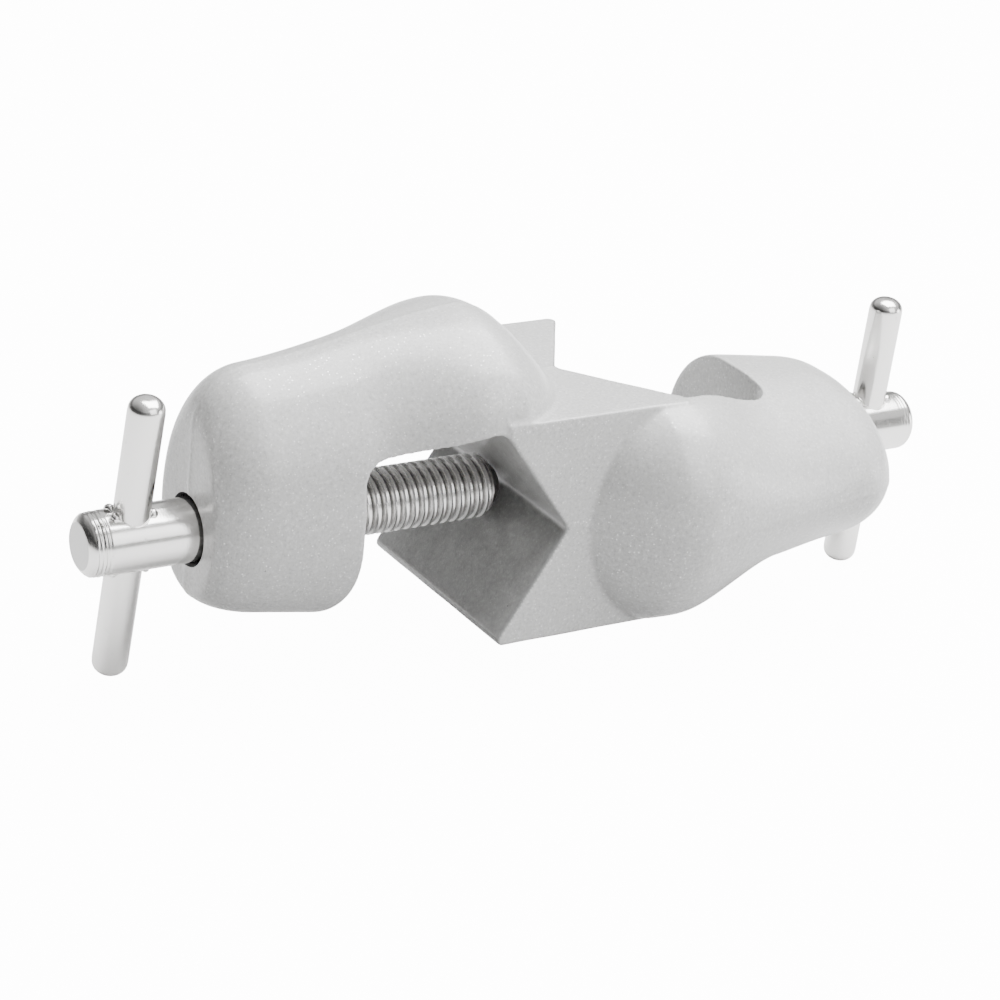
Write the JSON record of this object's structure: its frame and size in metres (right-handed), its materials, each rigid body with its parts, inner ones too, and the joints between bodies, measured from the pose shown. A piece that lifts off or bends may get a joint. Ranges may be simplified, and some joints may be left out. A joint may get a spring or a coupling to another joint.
{
  "type": "boss head clamp",
  "caption": "Cast boss head with V-jaws at right angles, each closed by a thumb-bar screw, for joining a cross rod to a laboratory stand rod.",
  "frame": {"origin": "bottom of the stand-rod V, on the axis that both screws share, half way up the block", "axes": "+Z along the stand rod, +X along the screws towards the stand-rod jaw, the cross rod along Y"},
  "size_m": [0.1169, 0.0389, 0.0438],
  "materials": {
    "casting": "light grey powder coat with a fine metallic speckle, over a cast light alloy",
    "screw_steel": "bright zinc-plated turned steel",
    "bar_steel": "bright plated drawn steel bar"
  },
  "bodies": {
    "casting": {"body": "casting"},
    "cross_screw": {"cross_rod_screw": "screw_steel", "cross_rod_bar": "bar_steel"},
    "stand_screw": {"stand_rod_screw": "screw_steel", "stand_rod_bar": "bar_steel"}
  },
  "joints": [
    {"name": "cross_screw_travel", "type": "slide", "parent": "casting", "child": "cross_screw", "axis": [-1, 0, 0], "range_m": [0, 0.0235]},
    {"name": "stand_screw_travel", "type": "slide", "parent": "casting", "child": "stand_screw", "axis": [1, 0, 0], "range_m": [0, 0.0235]}
  ]
}
